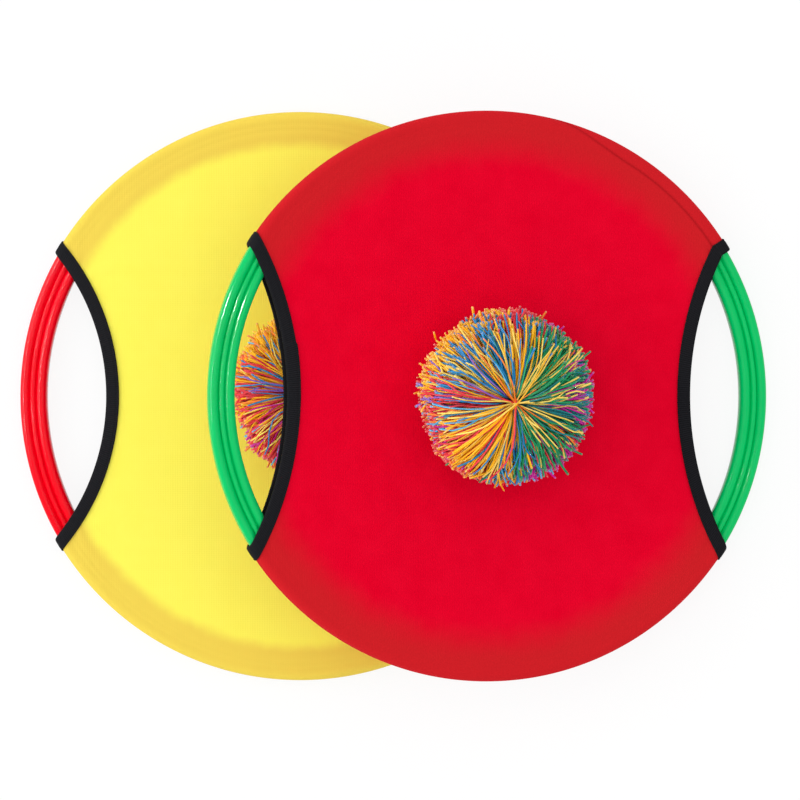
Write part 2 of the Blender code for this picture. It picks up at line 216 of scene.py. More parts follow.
@dataclass(frozen=True)
class StretchKnit:
    """Polyester and elastane tricot, warp knitted, piece dyed and stretched over the hoop.

    The eye gets a matt, even colour with faint lengthwise wales and a soft bloom at grazing angles.
    Over the hoop the thin cloth lets the plastic's colour through, as a muddy band with a soft edge.
    """

    name: str
    colour: str
    deep: str
    over_hoop: str
    band_start: float = 0.1295
    band_end: float = 0.1375
    band_wander: float = 4 * MM
    wale_pitch: float = 1.3 * MM
    course_pitch: float = 1.0 * MM
    relief: float = 0.03 * MM
    mottle: float = 14 * MM
    seam_dark: float = 0.26
    shading: tuple[float, float] = (0.99, 1.008)

    def material(self) -> Material:
        """Builds the cloth's shader, patterned in the flat cut's own millimetres.

        Returns:
            The material.
        """
        made, shader, add = new_material(self.name)
        dye = linear(self.colour)
        cut = add("UVMap", {}, uv_map="cut")
        centred = add("VectorMath", {0: cut, 1: (0.5, 0.5, 0.0)}, operation="SUBTRACT")
        flat = add("VectorMath", {0: centred, "Scale": CUT_SPAN}, operation="SCALE")
        radius = add("VectorMath", {0: flat}, operation="LENGTH").outputs["Value"]
        spots = {"Vector": flat, "Scale": 1 / self.mottle, "Detail": 4.0, "Roughness": 0.55}
        blotches = add("TexNoise", spots, noise_dimensions="2D")
        wander = add("Math", {0: blotches, 1: self.band_wander, 2: radius}, operation="MULTIPLY_ADD")
        start, end = (edge + self.band_wander / 2 for edge in (self.band_start, self.band_end))
        edges = {"Value": wander, "From Min": start, "From Max": end}
        band = add("MapRange", edges, interpolation_type="SMOOTHSTEP")
        body = add("Mix", {0: blotches, 6: linear(self.deep), 7: dye}, data_type="RGBA").outputs[2]
        dyed = add("Mix", {0: band, 6: body, 7: linear(self.over_hoop)}, data_type="RGBA").outputs[2]
        # Real wales are about 0.6 mm apart. They are drawn coarser, so that they show at this size.
        lines = {"Scale": WAVE_PERIOD / self.wale_pitch, "Distortion": 0.6, "Detail Scale": 1.0}
        wales = add("TexWave", {"Vector": flat, **lines}, bands_direction="X").outputs["Fac"]
        lines = {"Scale": WAVE_PERIOD / self.course_pitch, "Distortion": 0.8}
        courses = add("TexWave", {"Vector": flat, **lines}, bands_direction="Y").outputs["Fac"]
        # A wale stands out twice as much as a course
        loops = add("Math", {0: wales, 1: 2.0, 2: courses}, operation="MULTIPLY_ADD")
        low, high = self.shading
        shaded = add("MapRange", {"Value": loops, "From Max": 3.0, "To Min": low, "To Max": high})
        # The colour is darker along the seam line, where the seam map is 1, and it fades beside it.
        seam = add("SeparateXYZ", {0: add("UVMap", {}, uv_map="seam")})
        seam_darkened = add("Math", {0: seam, 1: -self.seam_dark, 2: shaded}, operation="MULTIPLY_ADD")
        inputs = {
            "Base Color": add("VectorMath", {0: dyed, "Scale": seam_darkened}, operation="SCALE"),
            "Normal": add("Bump", {"Height": loops, "Distance": self.relief, "Strength": 0.7}),
            "Roughness": 0.85,
            "Specular IOR Level": 0.08,
            "Specular Tint": dye,
            "Sheen Weight": 0.12,
            "Sheen Roughness": 0.4,
            "Sheen Tint": dye,
        }
        connect(shader, inputs)
        return made


@dataclass(frozen=True)
class ElasticTape:
    """Black polyester binding tape, narrow woven on elastic and sewn on folded.

    The eye gets a dead black with fine cross ribs and a fuzz, and its colour is a little lighter where the
    ribs and fuzz stand highest.
    """

    name: str = "woven_elastic_tape_black"
    colour: str = "131316"
    crest: str = "202024"
    rib_pitch: float = 1.1 * MM
    fuzz: float = 0.9 * MM
    relief: float = 0.12 * MM

    def material(self) -> Material:
        """Builds the tape's shader, with ribs across its length.

        Returns:
            The material.
        """
        made, shader, add = new_material(self.name)
        run = add("UVMap", {}, uv_map="cut")
        # Real ribs are about 0.7 mm apart. They are drawn a little coarser, so that they show.
        lines = {"Vector": run, "Scale": WAVE_PERIOD / self.rib_pitch, "Distortion": 0.5, "Detail": 1.0}
        ribs = add("TexWave", lines, bands_direction="X").outputs["Fac"]
        fuzz = add("TexNoise", {"Vector": run, "Scale": 1 / self.fuzz, "Detail": 3.0}, noise_dimensions="2D")
        height = add("Math", {0: ribs, 1: 1.0, 2: fuzz}, operation="MULTIPLY_ADD")
        # The colour turns lighter where the ribs and fuzz stand highest.
        crest_share = add("MapRange", {"Value": height, "From Min": 0.5, "From Max": 1.6})
        tint = add("Mix", {0: crest_share, 6: linear(self.colour), 7: linear(self.crest)}, data_type="RGBA")
        inputs = {
            "Base Color": tint.outputs[2],
            "Normal": add("Bump", {"Height": height, "Distance": self.relief, "Strength": 0.8}),
            "Roughness": 0.8,
            "Specular IOR Level": 0.04,
        }
        connect(shader, inputs)
        return made


@dataclass(frozen=True)
class MouldedPlastic:
    """Polypropylene, injection moulded in one colour in a polished mould.

    The eye gets a clean, saturated gloss with sharp streaks on the beads and a faint flow mottle.
    """

    name: str
    colour: str
    shade: str
    roughness: float = 0.1
    uneven: float = 0.008
    gleam: float = 0.13
    ripple: float = 0.001 * MM
    peel: float = 1.5 * MM
    flow: float = 22 * MM

    def material(self) -> Material:
        """Builds the plastic's shader.

        Returns:
            The material.
        """
        made, shader, add = new_material(self.name)
        place = add("TexCoord", {}).outputs["Object"]
        flow = add("TexNoise", {"Vector": place, "Scale": 1 / self.flow, "Detail": 2.0, "Distortion": 0.6})
        tint = add("Mix", {0: flow, 6: linear(self.shade), 7: linear(self.colour)}, data_type="RGBA")
        peel = add("TexNoise", {"Vector": place, "Scale": 1 / self.peel, "Detail": 2.0})
        low, high = self.roughness - self.uneven, self.roughness + self.uneven
        inputs = {
            "Base Color": tint.outputs[2],
            "Roughness": add("MapRange", {"Value": peel, "To Min": low, "To Max": high}),
            "Normal": add("Bump", {"Height": peel, "Distance": self.ripple, "Strength": 0.5}),
            "IOR": 1.49,
            "Specular IOR Level": self.gleam,
        }
        connect(shader, inputs)
        return made


@dataclass(frozen=True)
class StringRubber:
    """Natural rubber sheet, dyed through, slit into strings and dusted so that they don't cling.

    The eye gets a soft satin colour that differs a little from string to string, with a painted shade that
    darkens the strings towards their tied roots and a painted highlight that pales their tips.
    """

    name: str
    colour: str
    tip_glint: str = "f7ddd3"
    tip_glint_share: float = 0.22
    tip_glint_from: float = 0.975
    lots: tuple[float, float] = (0.88, 1.2)
    root_shade: float = 0.75
    root_shade_end: float = 0.3

    def material(self) -> Material:
        """Builds the rubber's shader. The strings map has a string's own number across and its length up.

        Returns:
            The material.
        """
        made, shader, add = new_material(self.name)
        number, length, _ = add("SeparateXYZ", {0: add("UVMap", {}, uv_map="strings")}).outputs
        # Painted highlight: over the last few per cent of its length, each string is mixed towards a pale
        # colour.
        span = {"Value": length, "From Min": self.tip_glint_from, "From Max": 1.0, "To Max": self.tip_glint_share}
        ends = add("MapRange", span, interpolation_type="SMOOTHSTEP")
        lot = add("MapRange", {"Value": number, "To Min": self.lots[0], "To Max": self.lots[1]})
        # Painted shade: each string's colour darkens towards its tied root, inside the ball, on top of its
        # random lot.
        span = {"Value": length, "From Max": self.root_shade_end, "To Min": self.root_shade, "To Max": 1.0}
        lot_and_root_shade = add("Math", {0: lot, 1: add("MapRange", span)}, operation="MULTIPLY")
        dyed = add("VectorMath", {0: linear(self.colour)[:3], "Scale": lot_and_root_shade}, operation="SCALE")
        cut = add("Mix", {0: ends, 6: dyed, 7: linear(self.tip_glint)}, data_type="RGBA")
        inputs = {"Base Color": cut.outputs[2], "Roughness": 0.55, "IOR": 1.52, "Specular IOR Level": 0.2}
        connect(shader, inputs)
        return made


@dataclass(frozen=True)
class TubeRubber:
    """Natural rubber band, cut from a drawn tube and left undyed.

    The eye gets a cloudy amber with a dull skin.
    """

    name: str = "cut_tube_rubber_natural"
    colour: str = "d9b06a"
    cloud: str = "c4944c"
    cloud_size: float = 3 * MM

    def material(self) -> Material:
        """Builds the band's shader.

        Returns:
            The material.
        """
        made, shader, add = new_material(self.name)
        place = add("TexCoord", {}).outputs["Object"]
        clouds = add("TexNoise", {"Vector": place, "Scale": 1 / self.cloud_size})
        tint = add("Mix", {0: clouds, 6: linear(self.cloud), 7: linear(self.colour)}, data_type="RGBA")
        inputs = {"Base Color": tint.outputs[2], "Roughness": 0.6, "IOR": 1.52, "Specular IOR Level": 0.3}
        connect(shader, inputs)
        return made


@dataclass(frozen=True)
class StudioPaper:
    """White seamless paper, which shows as plain white and still takes the object's soft shadow."""

    name: str = "seamless_paper_white"
    colour: str = "fbfbfb"
    glow: float = 0.88

    def material(self) -> Material:
        """Builds the paper's shader, part of whose white is for the camera's rays only.

        Returns:
            The material.
        """
        made, shader, add = new_material(self.name)
        connect(shader, {"Base Color": linear(self.colour), "Roughness": 0.9, "Specular IOR Level": 0.1})
        share = add("Math", {0: seen_white(add), 1: self.glow}, operation="MULTIPLY")
        mixed = add("MixShader", {0: share, 1: shader, 2: add("Emission", {"Strength": 1.0})})
        connect(made.node_tree.nodes["Material Output"], {"Surface": mixed})
        return made


class RubberColour(Enum):
    """The dye lots of the string balls, each with the sRGB colour of its strings."""

    MAGENTA = "cc1a9c"
    GREEN = "16945e"
    BLUE = "1f86c4"
    YELLOW = "fcb912"
    VIOLET = "8a62c4"
    RED = "ea3a48"
    ORANGE = "f5812a"
    TEAL = "1c7f86"
    STRAW = "f6d462"
    SKY = "56b0de"


@dataclass(frozen=True)
class HoopSection:
    """The moulded hoop's section: two beads and a slimmer rib on each face, between soft grooves."""

    radius: float = 0.150
    # Half its thickness
    half: float = 0.005
    outer_bead: float = 5.3 * MM
    rib: float = 3.1 * MM
    inner_bead: float = 5.8 * MM
    groove_depth: float = 1.8 * MM
    rib_drop: float = 0.3 * MM
    parting_ridge: float = 0.08 * MM
    arc_steps: int = 9

    @property
    def inner(self) -> float:
        """The hoop's inner radius."""
        return self.radius - self.outer_bead - self.rib - self.inner_bead

    @property
    def bend(self) -> float:
        """The radius of the outer bead's round side."""
        return self.outer_bead / 2

    @property
    def bend_r(self) -> float:
        """The radius at which the outer bead's round side begins."""
        return self.radius - self.bend

    @property
    def bend_z(self) -> float:
        """The height of the outer bead's centre."""
        return self.half - self.bend

    def bead(self, centre: float, width: float, top: float, start: float, end: float) -> Profile:
        """Points over one bead.

        Args:
            centre: The radius at the bead's middle.
            width: The bead's width.
            top: The height of its crest.
            start: The first angle, in degrees.
            end: The last angle, in degrees.

        Returns:
            Points as radius and height.
        """
        half = width / 2
        steps = range(self.arc_steps + 1)
        angles = [math.radians(start + (end - start) * i / self.arc_steps) for i in steps]
        return [(centre + half * math.cos(angle), top - half + half * math.sin(angle)) for angle in angles]

    def outline(self) -> Profile:
        """The closed section.

        Returns:
            Points as radius and height, round the section once.
        """
        groove = self.inner + self.inner_bead
        floor = self.half - self.groove_depth
        face = self.bead(self.inner + self.inner_bead / 2, self.inner_bead, self.half, 180, 28)
        face.append((groove, floor))
        face += self.bead(groove + self.rib / 2, self.rib, self.half - self.rib_drop, 150, 30)
        face.append((self.radius - self.outer_bead, floor))
        face += self.bead(self.bend_r, self.outer_bead, self.half, 152, 0)
        face.append((self.radius + self.parting_ridge, 0.0))
        return face + [(radius, -height) for radius, height in reversed(face[:-1])]


@dataclass
class Surface:
    """A grid of points with a flat map, which becomes one mesh piece.

    A closed grid goes round both ways, and its map has one more row and column. The seam's map is 1 on
    a seam's stitches and falls to 0 beside them. A flipped grid has its outer face on the other side.
    """

    name: str
    rows: list[list[Vector]]
    cut: list[Profile]
    seam: Optional[list[list[float]]] = None
    closed: bool = False
    flipped: bool = False

    def build(self, place: Matrix, material: Material, sharp_deg: float = 50.0) -> Object:
        """Makes the mesh and sets it down.

        Args:
            place: The paddle's place in the frame.
            material: The finish.
            sharp_deg: Edges sharper than this shade as corners.

        Returns:
            The new object, at the frame's origin, with its place in its mesh.
        """
        order = -1 if self.flipped else 1
        rows, cut, seam = ([row[::order] for row in grid] for grid in (self.rows, self.cut, self.seam or []))
        high, wide = len(rows), len(rows[0])
        edge = 0 if self.closed else 1
        faces, corners, stitches = [], [], []
        for j in range(high - edge):
            for i in range(wide - edge):
                quad = [(j, i), (j, i + 1), (j + 1, i + 1), (j + 1, i)]
                faces.append([(a % high) * wide + b % wide for a, b in quad])
                corners += [cut[a][b] for a, b in quad]
                if seam:
                    stitches += [(seam[a][b], 0.0) for a, b in quad]
        mesh = bpy.data.meshes.new(self.name)
        mesh.from_pydata([place @ point for row in rows for point in row], [], faces)
        for name, values in (("cut", corners), ("seam", stitches)):
            if values:
                layer = mesh.uv_layers.new(name=name)
                layer.data.foreach_set("uv", [value for corner in values for value in corner])
        mesh.materials.append(material)
        mesh.shade_smooth()
        mesh.set_sharp_from_angle(angle=math.radians(sharp_deg))
        return add_object(self.name, mesh)


@dataclass(frozen=True)
class Seam:
    """Where the front panel's seam runs along the rim: on the rim's side, or pulled round to the front.

    Where it is pulled round, the sleeve's side strip shows from the front, and the tape turns a corner
    to cross it.
    """

    pulled: bool = False
    side_run: float = 0.1540
    pulled_run: float = 0.1442
    start_deg: float = 58.0
    end_deg: float = 84.0
    corner_radius: float = 0.1463
    groove: float = 0.35 * MM
    groove_width: float = 0.6 * MM

    def run(self, angle_deg: float) -> float:
        """The seam's run from the paddle's centre, measured along the cloth.

        Args:
            angle_deg: The direction from the centre.

        Returns:
            The run in metres.
        """
        if not self.pulled or not 0.0 < angle_deg < 180.0:
            return self.side_run
        share = unit((angle_deg - self.start_deg) / (self.end_deg - self.start_deg))
        share = share * share * (3 - 2 * share)
        return self.pulled_run + (self.side_run - self.pulled_run) * share

    def dip(self, distance: float) -> float:
        """How far the cloth is drawn down by the stitches at this distance from the seam."""
        return self.groove * math.exp(-((distance / self.groove_width) ** 2))


class Spot(NamedTuple):
    """A place on the sleeve.

    Its run goes from the centre along the cloth, its angle is a direction in radians, and its dip is how
    far the stitches draw it down. It is mirrored to its half and its face.
    """

    run: float
    angle: float
    dip: float = 0.0
    half: Half = Half.TOP
    face: Face = Face.FRONT

    @property
    def flat(self) -> tuple[float, float]:
        """Its place in the cloth's flat map."""
        x, y = self.run * math.cos(self.angle), self.half * self.run * math.sin(self.angle)
        return 0.5 + x / CUT_SPAN, 0.5 + y / CUT_SPAN


@dataclass(frozen=True)
class TapeFold:
    """The folded binding tape's section, in millimetres."""

    # From the sewn edge inwards, with the groove of its stitches: the way in and the depth under the top
    sewn: Pairs = ((0, 0.28), (0.2, 0.1), (0.8, 0.04), (1.15, 0.2), (1.5, 0.04), (2.6, 0))
    # Round the fold at the mouth: the way from the mouth's edge and the depth under the top
    fold: Pairs = ((1.6, 0), (0.8, 0.05), (0.3, 0.25), (0.04, 0.7))
    # The inner leg where it is tucked against the hoop: the way from the edge and the height over the hoop
    tucked: Pairs = ((0.04, 0.3), (0.15, 0.1), (0.3, 0), (0.5, 0), (0.6, 0.1))
    # The sewn edge's height over the cloth, and where both legs meet inside the fold
    lip: float = 0.02
    inside: tuple[float, float] = (0.8, 0.2)
    # The point of the section whose path gives the tape's length
    middle: int = 7


@dataclass
class Paddle:
    """One paddle: a moulded hoop in a stretch sleeve, with black tape round the sleeve's two mouths."""

    name: str
    place: Matrix
    plastic: Material
    knit: Material
    tape: Material
    slots: dict[str, str]
    seam: Seam = field(default_factory=Seam)
    section: HoopSection = field(default_factory=HoopSection)
    fold: TapeFold = field(default_factory=TapeFold)
    hoop_steps: int = 240
    cloth: float = 0.8 * MM
    mouth_radius: float = 0.1685
    mouth_inset: float = 0.1083
    tape_width: float = 7.0 * MM
    tape_wall: float = 0.6 * MM
    stretch: float = 1.22
    cut_waste: float = 1.05
    grid: int = 96
    # The cloth's middle is one patch, out to this radius, and the rest is lines along the rim
    patch_radius: float = 0.132
    rim_rows: int = 26
    strip_rows: int = 40
    back_seam: float = 0.1452
    fabric_inset: float = 1.6 * MM
    groove_dip: float = 0.16 * MM
    groove_reach: float = 0.9 * MM
    sag: float = 0.35 * MM
    sag_reach: float = 7 * MM
    crease: float = 0.22 * MM
    crease_reach: float = 0.028
    crease_start: float = 0.006
    crease_lines: int = 11
    # What keeps the creases at the four corners from being alike
    crease_phases: tuple[float, float] = (2.1, 1.0)
    # Below this height in the left mouth the tape's two ends lap
    overlap_y: Optional[float] = None
    overlap_run: float = 0.045
    overlap_step: float = 0.55 * MM
    tape_steps: int = 60
    rim_turns_deg: tuple[int, ...] = tuple(range(75, -76, -15))
    flat_side_deg: float = 12.0
    # How far before the seam's corner the tape's curve ends, and how far after it the tape runs straight
    corner_gap: float = 1.0 * MM
    corner_turn: float = 0.5 * MM
    # The way over which the tape's inner leg tucks away, as a share of the mouth's half span
    tuck_share: float = 0.015
    tape_sharp_deg: float = 70.0

    @property
    def mouth_axis(self) -> float:
        """How far a mouth's circle is centred from the paddle's centre."""
        return self.mouth_inset + self.mouth_radius

    @property
    def cloth_out(self) -> float:
        """The cloth's outer face above the hoop's face."""
        return CLEARANCE + self.cloth

    @property
    def tape_out(self) -> float:
        """The tape's outer face above the hoop's face."""
        return self.cloth_out + CLEARANCE + self.tape_wall

    @property
    def shares(self) -> list[float]:
        """The shares of the way across a cloth at which its grid has points."""
        return [i / self.grid for i in range(self.grid + 1)]

    def finish_piece(self, made: Object, node: str) -> Object:
        """Lets a piece ride in the frame in the place of its model node.

        Args:
            made: The new piece.
            node: The last part of the model node's name.

        Returns:
            The piece.
        """
        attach(made, BODY)
        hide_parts(f"{self.name}_{node}")
        log.info("%s: %d faces", made.name, len(made.data.polygons))
        return made

    def build(self) -> None:
        """Builds every piece of the paddle."""
        self.build_hoop()
        for face in Face:
            self.build_panel(face)
        for half in Half:
            self.build_rim_band(half)
        for end in End:
            self.build_binding(end)

    def build_hoop(self) -> None:
        """Turns the moulded section round the paddle's centre."""
        outline = self.section.outline()
        steps, points = self.hoop_steps, len(outline)
        turns = [math.tau * step / steps for step in range(steps)]
        rows = [[Vector((r * math.cos(turn), r * math.sin(turn), z)) for r, z in outline] for turn in turns]
        cut = [[(step / steps, i / points) for i in range(points + 1)] for step in range(steps + 1)]
        made = Surface(f"{self.name}_moulded_hoop", rows, cut, closed=True).build(self.place, self.plastic)
        self.finish_piece(made, "hoop")

    def mouth_angle(self, radius: float, inset: float) -> float:
        """The direction from the handle line in which a line beside a mouth's edge meets this radius."""
        return triangle_angle(self.mouth_axis, radius, self.mouth_radius + inset)

    def edge_point(self, inset: float, radius: float, kinked: bool) -> tuple[float, float]:
        """Where a line beside the left mouth's edge meets a circle about the paddle's centre, above.

        Args:
            inset: How far the line is inside the cloth from the mouth's edge.
            radius: The circle's radius.
            kinked: Whether the edge turns to run straight outwards beyond the seam's corner.

        Returns:
            The point in the paddle's plane.
        """
        if kinked and radius > self.seam.corner_radius:
            corner = self.mouth_angle(self.seam.corner_radius, 0.0)
            along = math.sqrt(radius**2 - inset**2)
            x = -along * math.cos(corner) + inset * math.sin(corner)
            return x, along * math.sin(corner) + inset * math.cos(corner)
        angle = self.mouth_angle(radius, inset)
        return -radius * math.cos(angle), radius * math.sin(angle)

    def spread(self, u: float, run: float, half: Half) -> float:
        """The direction of a point of the cloth between the two mouths' corners.

        Args:
            u: 0 at the left mouth, 1 at the right.
            run: The way from the centre along the cloth.
            half: The paddle's half.

        Returns:
            The angle from the centre, in radians, above zero in both halves.
        """
        radius = self.plan_radius(run, self.cloth_out)
        ends = []
        for kinked in (False, self.seam.pulled and half is Half.TOP):
            x, y = self.edge_point(self.fabric_inset, radius, kinked)
            ends.append(math.atan2(y, -x))
        return blend(math.pi - ends[0], ends[1], u)

    def seam_run(self, u: float, face: Face, half: Half) -> float:
        """The run at which a panel ends and the side strip begins.

        Args:
            u: 0 at the left mouth, 1 at the right.
            face: The paddle's face.
            half: The paddle's half.

        Returns:
            The run in metres.
        """
        if face is Face.BACK:
            return self.back_seam
        return self.seam.run(math.degrees(self.spread(u, self.seam.pulled_run, half)) * half)

    def plan_radius(self, run: float, lift: float) -> float:
        """The radius in plan that a run along the cloth comes to, at this height over the hoop."""
        reach, past = self.section.bend + lift, run - self.section.bend_r
        return run if past <= 0 else self.section.bend_r + reach * math.sin(min(past / reach, math.pi / 2))

    def cloth_point(self, spot: Spot) -> Vector:
        """A point on the cloth: out along the hoop's face, then round its outer bead to its side.

        Args:
            spot: Its place on the sleeve.

        Returns:
            The point.
        """
        hoop = self.section
        lift = self.cloth_out - spot.dip
        reach = hoop.bend + lift
        past = spot.run - hoop.bend_r
        if past <= 0:
            height = hoop.half + lift + self.relief(spot.run, spot.angle)
        elif past <= reach * math.pi / 2:
            height = hoop.bend_z + reach * math.cos(past / reach)
        else:
            height = hoop.bend_z - (past - reach * math.pi / 2)
        radius = self.plan_radius(spot.run, lift)
        x, y = radius * math.cos(spot.angle), radius * math.sin(spot.angle)
        return Vector((x, spot.half * y, spot.face * height))

    def relief(self, radius: float, angle: float) -> float:
        """How the cloth departs from flat: drawn into the hoop's grooves, and down where it spans the middle.

        Args:
            radius: The distance from the centre.
            angle: The direction, in radians.

        Returns:
            A height, mostly below zero.
        """
        hoop = self.section
        dip = 0.0
        for groove in (hoop.inner + hoop.inner_bead, hoop.radius - hoop.outer_bead):
            dip -= self.groove_dip * math.exp(-(((radius - groove) / self.groove_reach) ** 2))
        inside = hoop.inner + hoop.inner_bead / 2 - radius
        if inside > 0:
            dip -= self.sag * (1 - math.exp(-inside / self.sag_reach))
        return dip + self.creases(radius, angle)

    def creases(self, radius: float, angle: float) -> float:
        """Fine pull lines that fan out over the cloth from each corner of the mouths.

        Args:
            radius: The distance from the centre.
            angle: The direction, in radians.

        Returns:
            A small height.
        """
        x, y = radius * math.cos(angle), radius * math.sin(angle)
        corner = self.mouth_angle(self.section.inner, 0.0)
        total = 0.0
        for sx, sy in ((1, 1), (-1, 1), (-1, -1), (1, -1)):
            dx = (sx * self.section.inner * math.cos(corner) - x) * sx
            dy = (sy * self.section.inner * math.sin(corner) - y) * sy
            away = math.hypot(dx, dy)
            swell = math.exp(-away / self.crease_reach) * min(1.0, away / self.crease_start)
            phase = self.crease_phases[0] * sx + self.crease_phases[1] * sy
            total += self.crease * swell * math.sin(self.crease_lines * math.atan2(dy, dx) + phase)
        return total

    def patch_rows(self, inset: float) -> list[Profile]:
        """A four-sided patch over the cloth's middle, between the mouths and a circle inside the hoop.

        Args:
            inset: How far the patch's sides are from the mouths' edges.

        Returns:
            Rows of plan points, from the bottom to the top, each from left to right.
        """
        radius = self.patch_radius
        edge = self.mouth_radius + inset
        corner = self.mouth_angle(radius, inset)
        swing = math.asin(radius * math.sin(corner) / edge)
        rows = []
        for v in self.shares:
            turn = swing * (2 * v - 1)
            side_x, side_y = self.mouth_axis - edge * math.cos(turn), edge * math.sin(turn)
            row = []
            for u in self.shares:
                angle = math.pi - corner - u * (math.pi - 2 * corner)
                top = (radius * math.cos(angle), radius * math.sin(angle))
                ends = (radius * math.cos(corner) * (2 * u - 1), radius * math.sin(corner) * (2 * v - 1))
                x = blend(-side_x, side_x, u) + top[0] - ends[0]
                row.append((x, side_y + top[1] * (2 * v - 1) - ends[1]))
            rows.append(row)
        return rows

    def rim_lines(self, face: Face, half: Half) -> list[list[Spot]]:
        """Lines along the rim from the middle patch out to a seam.

        Args:
            face: The paddle's face.
            half: The paddle's half.

        Returns:
            One row for each line, from the patch outwards, each from left to right.
        """
        lines = []
        for k in range(1, self.rim_rows + 1):
            line = []
            for u in self.shares:
                last = self.seam_run(u, face, half)
                run = self.patch_radius + (last - self.patch_radius) * k / self.rim_rows
                line.append(Spot(run, self.spread(u, run, half) * half, self.seam.dip(last - run), face=face))
            lines.append(line)
        return lines

    def build_panel(self, face: Face) -> None:
        """Stretches one panel of the sleeve over its face of the hoop, out to its seams.

        Args:
            face: The paddle's face.
        """
        lines = self.rim_lines(face, Half.BOTTOM)[::-1]
        for row in self.patch_rows(self.fabric_inset):
            lines.append([Spot(math.hypot(x, y), math.atan2(y, x), face=face) for x, y in row])
        lines += self.rim_lines(face, Half.TOP)
        names = f"{face.word}_cover", f"{face.word}_panel"
        self.lay_cloth(*names, lines, 2 * self.section.radius, face is Face.BACK)

    def build_rim_band(self, half: Half) -> None:
        """Wraps the sleeve's narrow side strip round half of the rim, between the two panels' seams.

        Args:
            half: The paddle's half.
        """
        hoop = self.section
        middle = hoop.bend_r + (hoop.bend + self.cloth_out) * math.pi / 2 + hoop.bend_z
        lines = []
        for k in range(self.strip_rows, -1, -1):
            line = []
            for u in self.shares:
                start = self.seam_run(u, Face.FRONT, half)
                end = 2 * middle - self.seam_run(u, Face.BACK, half)
                run = start + (end - start) * k / self.strip_rows
                near = min(run, 2 * middle - run)
                dip = self.seam.dip(run - start) + self.seam.dip(end - run)
                face = Face.FRONT if run <= middle else Face.BACK
                line.append(Spot(near, self.spread(u, near, half), dip, half, face))
            lines.append(line)
        arc = math.pi - 2 * self.mouth_angle(hoop.radius, self.fabric_inset)
        span = (hoop.radius + self.cloth_out) * arc
        names = f"{half.word}_rim_band", f"rim_band_{half.word}"
        self.lay_cloth(*names, lines, span, half is Half.BOTTOM)

    def lay_cloth(self, name: str, node: str, lines: list[list[Spot]], span: float, flipped: bool) -> None:
        """Args:
            name: The last part of the piece's name.
            node: The last part of the model node's name.
            lines: Its places on the sleeve, line by line.
            span: The length over which it is stretched.
            flipped: Whether its outer face is on the grid's other side.
        """
        rows = [[self.cloth_point(spot) for spot in line] for line in lines]
        cut = [[spot.flat for spot in line] for line in lines]
        stitches = [[spot.dip / self.seam.groove for spot in line] for line in lines]
        surface = Surface(f"{self.name}_{name}", rows, cut, stitches, flipped=flipped)
        made = self.finish_piece(surface.build(self.place, self.knit), node)

    def tape_section(self, extra: float, over: float) -> Profile:
        """The folded tape's section as inset from the mouth's edge and height over the hoop's face.

        Args:
            extra: How much wider and thicker it is where its two ends overlap.
            over: 0 where the tape is free, 1 where the hoop passes and the inner leg is tucked away.

        Returns:
            Points round the section.
        """
        width = self.tape_width + extra
        top = self.tape_out + extra / 2
        wall = self.tape_wall
        outer = [(width, self.cloth_out + self.fold.lip * MM)]
        outer += [(width - a * MM, top - b * MM) for a, b in self.fold.sewn]
        outer += [(width / 2, top)] + [(a * MM, top - b * MM) for a, b in self.fold.fold]
        free = [(0.04 * MM, -0.1 * MM), (0.3 * MM, -wall + 0.1 * MM), (0.8 * MM, -wall)]
        free += [(width, -wall), (width, 0.0)]
        tucked = [(a * MM, CLEARANCE + b * MM) for a, b in self.fold.tucked]
        inner = [(blend(a[0], b[0], over), blend(a[1], b[1], over)) for a, b in zip(free, tucked)]
        return outer + inner + [(self.fold.inside[0] * MM, CLEARANCE + self.fold.inside[1] * MM)]

    def tape_point(self, inset: float, lift: float, share: float, face: Face) -> Vector:
        """A point of the tape on a flat face, by the share of the mouth's half span at its inset.

        Args:
            inset: The distance from the mouth's edge, into the cloth.
            lift: The height over the hoop's face.
            share: From -1 at the lower corner to 1 at the upper.
            face: The paddle's face.

        Returns:
            The point, for the left mouth.
        """
        edge = self.mouth_radius + inset
        turn = share * triangle_angle(self.mouth_axis, edge, self.section.bend_r)
        x, y = edge * math.cos(turn) - self.mouth_axis, edge * math.sin(turn)
        return Vector((x, y, face * (self.section.half + lift)))

    def tape_rim_point(self, inset: float, lift: float, turn_deg: float, kinked: bool) -> Vector:
        """A point of the tape where it goes round the rim's side, at the left mouth's upper corner.

        Args:
            inset: The distance from the mouth's edge, into the cloth.
            lift: The height over the hoop's surface.
            turn_deg: 90 where the side begins at the front, 0 at its middle, -90 at the back.
            kinked: Whether the edge turns at the seam's corner.

        Returns:
            The point.
        """
        hoop = self.section
        reach = hoop.bend + lift
        angle = math.radians(turn_deg)
        # Near the middle it crosses the straight part of the side
        height = reach * math.sin(angle) + hoop.bend_z * max(-1.0, min(1.0, turn_deg / self.flat_side_deg))
        return Vector((*self.edge_point(inset, hoop.bend_r + reach * math.cos(angle), kinked), height))

    def tape_corner(self, face: Face) -> list[list[Vector]]:
        """The tape's sections where it turns at the seam's corner: the mitre, then straight outwards.

        Args:
            face: The paddle's face.

        Returns:
            The sections, for the left mouth's upper corner, going outwards.
        """
        radius = self.seam.corner_radius
        corner = self.mouth_angle(radius, 0.0)
        edge = Vector((-radius * math.cos(corner), radius * math.sin(corner)))
        into = Vector((edge.x + self.mouth_axis, edge.y)).normalized()
        beside = Vector((math.sin(corner), math.cos(corner)))
        mitre = (into + beside).normalized() / math.cos(into.angle(beside) / 2)
        profile = self.tape_section(0.0, 1.0)
        plans = [[edge + mitre * inset for inset, lift in profile]]
        for reach in (radius + self.corner_turn, self.section.bend_r):
            plans.append([self.edge_point(inset, reach, True) for inset, lift in profile])
        level = [face * (self.section.half + lift) for inset, lift in profile]
        return [[Vector((*p, z)) for p, z in zip(plan, level)] for plan in plans]

